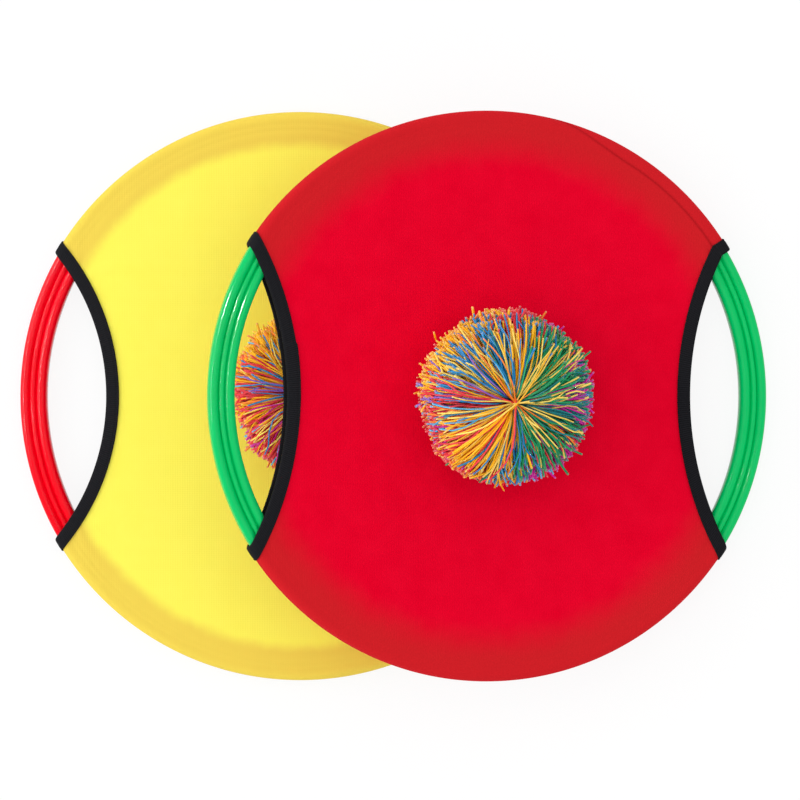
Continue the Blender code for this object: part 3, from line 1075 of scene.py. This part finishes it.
    def tape_face(self, face: Face, lap: bool, kinked: bool) -> list[list[Vector]]:
        """The tape's sections over one face of the sleeve, from the lower corner to the upper.

        Args:
            face: The paddle's face.
            lap: Whether the tape's two ends lap here.
            kinked: Whether the tape turns at the seam's corner, at the top.

        Returns:
            The sections, for the left mouth.
        """
        tucked = self.share_at(self.section.inner - CLEARANCE)
        turned = self.share_at(self.seam.corner_radius - self.corner_gap) if kinked else math.inf
        rows = []
        for i in range(-self.tape_steps, self.tape_steps + 1):
            share = i / self.tape_steps
            if share > turned:
                break
            over = unit((abs(share) - tucked) / self.tuck_share)
            extra = self.lap_at(self.tape_point(0.0, 0.0, share, face).y) if lap else 0.0
            profile = self.tape_section(extra, over)
            rows.append([self.tape_point(inset, lift, share, face) for inset, lift in profile])
        return rows + (self.tape_corner(face) if kinked else [])

    def lap_at(self, y: float) -> float:
        """How much the tape is thickened by its lapped end.

        Args:
            y: The height in the mouth.

        Returns:
            The thickening, 0 above the lapped end.
        """
        if self.overlap_y is None or y > self.overlap_y:
            return 0.0
        return self.overlap_step * max(0.0, 1 - (self.overlap_y - y) / self.overlap_run)

    def share_at(self, radius: float) -> float:
        """The share of the mouth's half span at which its edge is this far from the paddle's centre."""
        angles = [triangle_angle(self.mouth_axis, self.mouth_radius, r) for r in (radius, self.section.bend_r)]
        return angles[0] / angles[1]

    def build_binding(self, end: End) -> None:
        """Lofts the folded tape once round a mouth: up the front, over the rim, down the back and round.

        Args:
            end: The mouth's end of the paddle.
        """
        left = end is End.LEFT
        kinked = self.seam.pulled and not left
        profile = self.tape_section(0.0, 1.0)
        upper = [[self.tape_rim_point(a, b, turn, kinked) for a, b in profile] for turn in self.rim_turns_deg]
        lower = [[self.tape_rim_point(a, b, turn, False) for a, b in profile] for turn in self.rim_turns_deg]
        rows = self.tape_face(Face.FRONT, left, kinked) + upper
        rows += reversed(self.tape_face(Face.BACK, False, kinked))
        rows += [[Vector((p.x, -p.y, p.z)) for p in row] for row in reversed(lower)]
        middle = [row[self.fold.middle] for row in rows]
        steps = [(b - a).length for a, b in zip(middle, middle[1:] + middle[:1])]
        profile = self.tape_section(0.0, 0.0)
        across = list(accumulate(map(math.dist, profile, profile[1:] + profile[:1]), initial=0.0))
        cut = [[(along, way) for way in across] for along in accumulate(steps, initial=0.0)]
        if not left:
            rows = [[Vector((-p.x, p.y, p.z)) for p in row] for row in rows]
        name = f"{self.name}_{end.word}_binding_tape"
        surface = Surface(name, rows, cut, closed=True, flipped=left)
        made = surface.build(self.place, self.tape, self.tape_sharp_deg)
        self.finish_piece(made, f"binding_{end.word}")


@dataclass(frozen=True)
class Rest:
    """A flat surface that strings rest against: a point on it and its outward normal."""

    point: Vector
    normal: Vector


@dataclass(frozen=True)
class Zone:
    """The dye lots of one eighth of a ball: those of its crown and those of its skirt, most common first."""

    bundle: str
    crown: tuple[RubberColour, ...]
    skirt: tuple[RubberColour, ...]


def lots(names: str) -> tuple[RubberColour, ...]:
    """The dye lots that these words name."""
    return tuple(RubberColour[word.upper()] for word in names.split())


ZONES = tuple(
    Zone(bundle, lots(crown), lots(skirt))
    for bundle, crown, skirt in (
        ("magenta", "green teal straw green green", "magenta magenta magenta teal magenta"),
        ("green", "green straw teal yellow green", "green green magenta green blue"),
        ("blue", "blue straw blue teal yellow", "red blue yellow orange red"),
        ("yellow", "blue yellow sky straw blue", "yellow orange yellow yellow yellow"),
        ("violet", "sky blue red straw violet", "orange red sky yellow red"),
        ("red", "straw orange red yellow yellow", "red orange magenta red red"),
        ("orange", "green yellow blue straw yellow", "sky green yellow green blue"),
        ("teal", "green teal straw green green", "magenta green magenta red magenta"),
    )
)
CROSSING = lots("straw orange yellow red straw")


@dataclass(frozen=True)
class Scatter:
    """How the strings differ from one another: spreads in degrees, shares, and ranges from low to high."""

    root_deg: float = 2.0
    tip_deg: float = 3.0
    level_tip_deg: float = 9.0
    level_root_deg: float = 8.0
    sway_deg: float = 6.0
    cut_length: tuple[float, float] = (0.92, 1.0)
    crown_longer: float = 0.05
    # The ball's uneven outline: how many swells, their height and where they begin, in radians
    swells: tuple[tuple[int, float, float], ...] = ((5, 0.018, 0.0), (13, 0.014, 1.0))
    stray_share: float = 0.02
    stray_longer: float = 1.08
    drape_bend: tuple[float, float] = (1.1, 1.5)
    bend: tuple[float, float] = (1.1, 1.9)
    drape_rise: tuple[float, float] = (0.36, 0.5)
    curl_turn: float = 0.09
    curl_rise: float = 0.9 * MM
    curl_waves: tuple[float, float] = (3.0, 8.0)
    curl_start: tuple[float, float] = (0.0, 6.0)
    girth: tuple[float, float] = (0.8, 1.15)
    # How a string strays into the next zone's colours: the middle and the spread of its shift, in eighths
    zone_shift: tuple[float, float] = (0.5, 0.22)
    crown_fray: tuple[float, float] = (-0.15, 0.15)


@dataclass
class StringBall:
    """A ball of rubber strings, tied at its waist, whose strings part at the poles and lean outwards.

    Short strings stand out, long ones drape over them. In the bare directions, each given as its middle
    and half width in degrees, the draped strings stop short, so that the skirt under them shows.
    """

    name: str
    place: Matrix
    rests: tuple[Rest, ...]
    rubbers: dict[RubberColour, Material]
    seed: int
    scatter: Scatter = field(default_factory=Scatter)
    radius: float = 0.0466
    string: float = 1.2 * MM
    upper_count: int = 1750
    lower_count: int = 950
    rings: int = 10
    sides: int = 5
    waist: float = 6.0 * MM
    tied: float = 2.0 * MM
    first_tip_deg: float = 38.0
    last_tip_deg: float = 94.0
    tip_crowding: float = 0.3
    root_deg: float = 3.0
    root_spread_deg: float = 62.0
    draped_share: float = 0.42
    drape_crowding: float = 0.4
    drape_spread_deg: float = 5.0
    drape_girth: float = 0.72
    drape_crown: float = 0.72
    crossing_share: float = 0.05
    crossing_deg: float = 16.0
    level_share: float = 0.38
    locks: int = 19
    lock_pull: float = 0.9
    lock_twist: float = 14.0
    clumps: int = 32
    clump_layers: int = 4
    clump_share: float = 0.76
    crown_reach: float = 0.6
    bare: Pairs = ()
    bare_deg: float = 32.0
    dice: np.random.Generator = field(init=False)

    def __post_init__(self) -> None:
        """Seeds the ball's own random source."""
        self.dice = np.random.default_rng(self.seed)

    def build(self) -> None:
        """Makes the strings and the pieces that hold them, one for each eighth of the ball."""
        halves = [self.strings(self.upper_count, Half.TOP), self.strings(self.lower_count, Half.BOTTOM)]
        paths, angles, skirts, girths = (np.concatenate(pair) for pair in zip(*halves))
        number = len(ZONES)
        wedge = np.floor((angles / math.tau + 0.5 / number) * number).astype(int) % number
        dyes = self.dye(angles, skirts)
        for k, zone in enumerate(ZONES):
            chosen = np.flatnonzero(wedge == k)
            name = f"{self.name}_{zone.bundle}_strings"
            made = self.bundle(name, paths[chosen], dyes[chosen], girths[chosen])
            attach(made, BODY)
            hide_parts(f"{self.name}_{zone.bundle}_bundle")
            log.info("%s: %d strings", made.name, len(chosen))

    def strings(self, count: int, half: Half) -> tuple[Array, ...]:
        """Draws the middle lines of one half's strings: short ones that stand out, long ones that drape over.

        Args:
            count: How many strings.
            half: Their half of the ball.

        Returns:
            The lines' points in the frame, their directions round the ball, how near each is to the waist,
            and their half thicknesses.
        """
        dice, uneven = self.dice, self.scatter
        low = math.radians(self.first_tip_deg)
        draped = dice.random(count) < self.draped_share
        skirt = dice.random(count) ** np.where(draped, self.drape_crowding, self.tip_crowding)
        spread = np.where(draped, self.drape_spread_deg, self.root_spread_deg)
        crossing = draped & (dice.random(count) < self.crossing_share)
        start = np.where(crossing, -self.crossing_deg, self.root_deg)
        root = np.radians(start + spread * skirt**2 + dice.normal(0.0, uneven.root_deg, count))
        tip = low + (math.pi / 2 - low) * skirt + np.radians(dice.normal(0.0, uneven.tip_deg, count))
        tip = np.minimum(tip, math.radians(self.last_tip_deg))
        # Some stand straight out at the waist and close the ball there
        level = ~draped & (dice.random(count) < self.level_share)
        tip = np.where(level, np.radians(dice.normal(90.0, uneven.level_tip_deg, count)), tip)
        root = np.where(level, tip + np.radians(dice.normal(0.0, uneven.level_root_deg, count)), root)
        around = dice.uniform(0.0, math.tau, count)
        around = around + self.lock_pull / self.locks * np.sin(self.locks * around + self.lock_twist * skirt)
        tip = np.where(draped, tip - math.radians(self.bare_deg) * self.bareness(around), tip)
        length = self.lengths(around, skirt)

        share = np.linspace(0.0, 1.0, self.rings)[None, :]
        bends = np.where(draped, dice.uniform(*uneven.drape_bend, count), dice.uniform(*uneven.bend, count))
        polar = root[:, None] + (tip - root)[:, None] * share ** bends[:, None]
        sway = np.radians(dice.normal(0.0, uneven.sway_deg, count))[:, None] * share
        curl = dice.normal(0.0, 1.0, (count, 2))
        waves = dice.uniform(*uneven.curl_waves, count)[:, None]
        wave = np.sin(share * waves + dice.uniform(*uneven.curl_start, count)[:, None])
        azimuth = around[:, None] + sway + wave * share * uneven.curl_turn * curl[:, :1]
        rise = share ** np.where(draped, dice.uniform(*uneven.drape_rise, count), 1.0)[:, None]
        reach = self.waist + (length[:, None] - self.waist) * rise
        reach = np.where(share == 0, self.tied, reach)
        out = reach * np.sin(polar)
        height = half * reach * np.cos(polar) + wave * share * uneven.curl_rise * curl[:, 1:]
        points = np.stack([out * np.cos(azimuth), out * np.sin(azimuth), height], axis=-1)
        girth = self.string / 2 * dice.uniform(*uneven.girth, count) * np.where(draped, self.drape_girth, 1.0)
        near = np.where(draped, self.drape_crown * skirt, skirt) if half is Half.TOP else np.ones(count)
        near = np.where(crossing, 0.0, near)
        return self.settle(points), np.mod(around, math.tau), near, girth

    def lengths(self, around: Array, skirt: Array) -> Array:
        """Cuts the strings to their lengths, by the ball's uneven outline and with a few that stray.

        Args:
            around: The strings' directions round the ball.
            skirt: How near each string is to the waist.

        Returns:
            The lengths.
        """
        dice, uneven = self.dice, self.scatter
        longer = 1 + uneven.crown_longer - uneven.crown_longer * skirt
        length = self.radius * dice.uniform(*uneven.cut_length, len(around)) * longer
        outline = np.ones_like(around)
        for number, height, start in uneven.swells:
            outline = outline + height * np.sin(number * around + start)
        strays = dice.random(len(around)) < uneven.stray_share
        return length * outline * np.where(strays, uneven.stray_longer, 1.0)

    def bareness(self, around: Array) -> Array:
        """How far the draped strings stop short and bare the skirt under them, by direction.

        Args:
            around: The strings' directions round the ball.

        Returns:
            For each string, from 0 to 1.
        """
        total = np.zeros_like(around)
        for middle_deg, width_deg in self.bare:
            away = (around - math.radians(middle_deg) + math.pi) % math.tau - math.pi
            total = np.maximum(total, np.exp(-((away / math.radians(width_deg)) ** 4)))
        return total

    def settle(self, points: Array) -> Array:
        """Carries the strings into the frame, where they lie on what they rest against and not through it.

        Args:
            points: The strings' lines about the ball's own axes.

        Returns:
            The lines in the frame, with each point at least half a string clear of every rest.
        """
        points = points @ np.array(self.place.to_3x3()).T + np.array(self.place.translation)
        for rest in self.rests:
            normal = np.array(rest.normal)
            height = (points - np.array(rest.point)) @ normal - self.string / 2
            points = points + np.maximum(0.0, -height)[..., None] * normal
        return points

    def dye(self, angles: Array, skirts: Array) -> Array:
        """Chooses each string's dye lot, in small clumps that change round the ball.

        Args:
            angles: The strings' directions round the ball.
            skirts: How near each string is to the waist.

        Returns:
            The index of each string's lot in RubberColour.
        """
        dice, uneven, order = self.dice, self.scatter, list(RubberColour)
        clump = dice.random((self.clumps, self.clump_layers))
        picks = []
        for angle, skirt in zip(angles, skirts):
            turn = angle / math.tau
            zone = ZONES[int(turn * len(ZONES) + dice.normal(*uneven.zone_shift)) % len(ZONES)]
            wheel = zone.skirt if skirt > self.crown_reach + dice.uniform(*uneven.crown_fray) else zone.crown
            wheel = wheel if skirt > 0 else CROSSING
            layer = min(self.clump_layers - 1, int(skirt * self.clump_layers))
            near = clump[int(turn * self.clumps) % self.clumps, layer]
            draw = near if dice.random() < self.clump_share else dice.random()
            picks.append(order.index(wheel[int(draw * len(wheel))]))
        return np.array(picks)

    def bundle(self, name: str, paths: Array, dyes: Array, girths: Array) -> Object:
        """Makes one mesh of round strings.

        Args:
            name: The piece's name.
            paths: The strings' middle lines in the frame.
            dyes: The strings' dye lots.
            girths: The strings' half thicknesses.

        Returns:
            The new object.
        """
        count, rings, sides = len(paths), self.rings, self.sides
        along = np.gradient(paths, axis=1)
        along /= np.linalg.norm(along, axis=-1, keepdims=True)
        # Across each string, from an axis that it doesn't run along
        spare = np.where(np.abs(along[:, :1, 2:]) < 0.9, [[[0.0, 0.0, 1.0]]], [[[1.0, 0.0, 0.0]]])
        first = np.cross(along, spare)
        first /= np.linalg.norm(first, axis=-1, keepdims=True)
        second = np.cross(along, first)
        turn = (np.arange(sides) / sides * math.tau)[:, None]
        ring = first[:, :, None, :] * np.cos(turn) + second[:, :, None, :] * np.sin(turn)
        points = (paths[:, :, None, :] + ring * girths[:, None, None, None]).reshape(-1, 3)

        base = (np.arange(count) * rings * sides)[:, None, None]
        low = base + (np.arange(rings - 1) * sides)[None, :, None]
        this = np.arange(sides)
        following = (this + 1) % sides
        ways = [low + this, low + following, low + sides + following, low + sides + this]
        quads = np.stack(ways, axis=-1).reshape(-1, 4)
        caps = base[:, 0] + (rings - 1) * sides + this
        roots = base[:, 0] + this[::-1]
        mesh = bpy.data.meshes.new(name)
        mesh.from_pydata(points.tolist(), [], quads.tolist() + caps.tolist() + roots.tolist())

        number = self.dice.random(count)
        span = np.linspace(0.0, 1.0, rings)
        ends = np.stack([span[:-1], span[:-1], span[1:], span[1:]], axis=-1)
        lengths = [np.tile(np.repeat(ends, sides, axis=0).reshape(-1), count)]
        lengths += [np.full(count * sides, value) for value in (1.0, 0.0)]
        numbers = [np.repeat(number, times * sides) for times in ((rings - 1) * 4, 1, 1)]
        flat = np.stack([np.concatenate(numbers), np.concatenate(lengths)], axis=-1)
        mesh.uv_layers.new(name="strings").data.foreach_set("uv", flat.reshape(-1))
        for lot in RubberColour:
            mesh.materials.append(self.rubbers[lot])
        paint = np.concatenate([np.repeat(dyes, (rings - 1) * sides), dyes, dyes])
        mesh.polygons.foreach_set("material_index", paint.astype(np.int32))
        mesh.shade_smooth()
        return add_object(name, mesh)


@dataclass(frozen=True)
class Lamp:
    """A flat lamp that faces the set, with its second side as upright as it goes."""

    name: str
    place: tuple[float, float, float]
    sides: tuple[float, float]
    watts: float
    only_gleams: bool = False

    def build(self, look_at: Vector) -> None:
        """Hangs the lamp.

        Args:
            look_at: What it faces.
        """
        lamp = bpy.data.lights.new(self.name, "AREA")
        lamp.shape = "RECTANGLE"
        lamp.size, lamp.size_y = self.sides
        lamp.energy = self.watts
        made = add_object(self.name, lamp)
        made.location = self.place
        made.rotation_euler = (Vector(self.place) - look_at).to_track_quat("Z", "Y").to_euler()
        if self.only_gleams:
            made.visible_diffuse = False


LAMPS = (
    Lamp("overhead_softbox", (0.5, 0.2, 2.5), (2.0, 2.0), 10.0),
    # A low box on the left reaches in under the leaning paddle
    Lamp("side_softbox", (-3.4, 0.5, 1.7), (2.4, 2.4), 60.0),
    # The strips only draw gleams, so that the set keeps its even light: the first a bright one on the
    # leaning hoop's beads, the second a long faint one on the flat hoop's
    Lamp("short_strip", (-1.17, 0.68, 1.50), (0.12, 0.5), 60.0, only_gleams=True),
    Lamp("long_strip", (-1.20, 0.26, 1.58), (0.9, 0.1), 28.0, only_gleams=True),
)


@dataclass
class Studio:
    """White paper under the set, plain soft light, and a camera over it with a long lens."""

    look_at: Vector
    view_deg: float = 8.0
    distance: float = 12.0
    pixels_per_mm: float = 1.885
    image_width: int = 800
    sensor: float = 36.0
    view_end: float = 50.0
    floor_size: float = 12.0
    floor_drop: float = 0.2 * MM
    sky: float = 0.86
    paper: StudioPaper = field(default_factory=StudioPaper)

    def build(self) -> None:
        """Makes the floor, the world, the lamps and the camera."""
        self.build_floor()
        self.build_world()
        for lamp in LAMPS:
            lamp.build(self.look_at)
        self.build_camera()

    def build_floor(self) -> None:
        """Lays the paper just under what the set stands on."""
        half = self.floor_size / 2
        mesh = bpy.data.meshes.new("studio_floor")
        corners = [(-half, -half), (half, -half), (half, half), (-half, half)]
        mesh.from_pydata([(x, y, -self.floor_drop) for x, y in corners], [], [(0, 1, 2, 3)])
        mesh.materials.append(self.paper.material())
        floor = add_object("studio_floor", mesh)

    def build_world(self) -> None:
        """Lights the set evenly from all round, and shows the camera plain white."""
        world = bpy.data.worlds.new("studio_light")
        world.use_nodes = True
        add = partial(add_node, world.node_tree)
        strength = add("MapRange", {"Value": seen_white(add), "To Min": self.sky, "To Max": 1.0})
        connect(world.node_tree.nodes["Background"], {"Strength": strength, "Color": (1.0, 1.0, 1.0, 1.0)})
        bpy.context.scene.world = world

    def build_camera(self) -> None:
        """Looks down at nearly half the lean, so that the flat and the leaning paddle both look round."""
        lens = bpy.data.cameras.new("long_lens")
        lens.sensor_width = self.sensor
        lens.lens = self.pixels_per_mm * self.distance / MM * self.sensor / self.image_width
        lens.clip_end = self.view_end
        angle = math.radians(self.view_deg)
        camera = add_object("long_lens", lens)
        back = Vector((math.sin(angle), 0.0, math.cos(angle)))
        right = Vector((math.cos(angle), 0.0, -math.sin(angle)))
        turn = Matrix((right, Vector((0.0, 1.0, 0.0)), back)).transposed().to_4x4()
        camera.matrix_world = Matrix.Translation(self.look_at + back * self.distance) @ turn
        bpy.context.scene.camera = camera


def centre_of(node: str) -> Vector:
    """The middle of a model node's box."""
    low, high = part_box(node)
    return (Vector(low) + Vector(high)) / 2


def dress_tie_bands(rubber: Material) -> None:
    """Gives the bands inside the balls their rubber, which the model's own pieces keep in shape.

    Args:
        rubber: The finish.
    """
    for node in ("upper_ball_tie_band", "lower_ball_tie_band"):
        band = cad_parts[node]
        for part in band.material_slots:
            part.link = "OBJECT"
            part.material = rubber


def main() -> None:
    """Dresses the set and lights it."""
    logging.basicConfig(level=logging.INFO, format="%(name)s %(message)s")
    bpy.context.scene.view_settings.view_transform = "Standard"

    tape = ElasticTape().material()
    red_knit = StretchKnit(
        name="stretch_tricot_red",
        colour="e8082c",
        deep="dc0024",
        over_hoop="cb1f26",
        band_start=0.1180,
        band_end=0.1415,
        band_wander=8 * MM,
    ).material()
    yellow_knit = StretchKnit(
        name="stretch_tricot_yellow", colour="fbf35e", deep="f9f058", over_hoop="ebcf52"
    ).material()
    green = MouldedPlastic("moulded_polypropylene_green", "00c86a", "00bc60").material()
    red = MouldedPlastic("moulded_polypropylene_red", "f6001e", "ec0014").material()

    lean = Matrix.Rotation(math.radians(LEAN_DEG), 4, "Y")
    flat_place = Matrix.Translation(centre_of("yellow_paddle_hoop"))
    lean_place = Matrix.Translation(centre_of("red_paddle_hoop")) @ lean
    yellow_slots = {"hoop": "plastic_red", "cloth": "fabric_yellow", "tape": "tape_black"}
    red_slots = {"hoop": "plastic_green", "cloth": "fabric_red", "tape": "tape_black"}
    flat_paddle = Paddle(
        name="yellow_paddle",
        place=flat_place,
        plastic=red,
        knit=yellow_knit,
        tape=tape,
        slots=yellow_slots,
        mouth_radius=0.1180,
        mouth_inset=0.1032,
    )
    lean_paddle = Paddle(
        name="red_paddle",
        place=lean_place,
        plastic=green,
        knit=red_knit,
        tape=tape,
        slots=red_slots,
        seam=Seam(pulled=True),
        overlap_y=0.0252,
    )
    flat_paddle.build()
    lean_paddle.build()

    rubbers = {}
    for lot in RubberColour:
        rubbers[lot] = StringRubber(f"slit_rubber_{lot.name.lower()}", lot.value).material()
    up = Vector((0.0, 0.0, 1.0))
    lean_up = lean.to_3x3() @ up
    cloth_top = lean_paddle.section.half + lean_paddle.cloth_out + CLEARANCE
    tape_top = lean_paddle.section.half + lean_paddle.tape_out + CLEARANCE
    flat_rest = Rest(flat_place @ (up * cloth_top), up)
    under_rest = Rest(lean_place @ (up * -tape_top), -lean_up)
    lean_rest = Rest(lean_place @ (up * cloth_top), lean_up)
    lower_place = Matrix.Translation(centre_of("lower_ball_tie_band"))
    tip_over = Matrix.Rotation(math.radians(TIP_OVER_DEG), 4, "X")
    upper_place = Matrix.Translation(centre_of("upper_ball_tie_band")) @ lean @ tip_over
    lower_rests = (flat_rest, under_rest)
    StringBall("lower_ball", lower_place, lower_rests, rubbers, seed=11, crown_reach=0.3).build()
    bare = ((12, 20), (296, 16))
    StringBall("upper_ball", upper_place, (lean_rest,), rubbers, seed=47, bare=bare).build()
    dress_tie_bands(TubeRubber().material())

    Studio(look_at=Vector((0.0072, -0.0021, 0.03))).build()


if __name__ == "__main__":
    main()
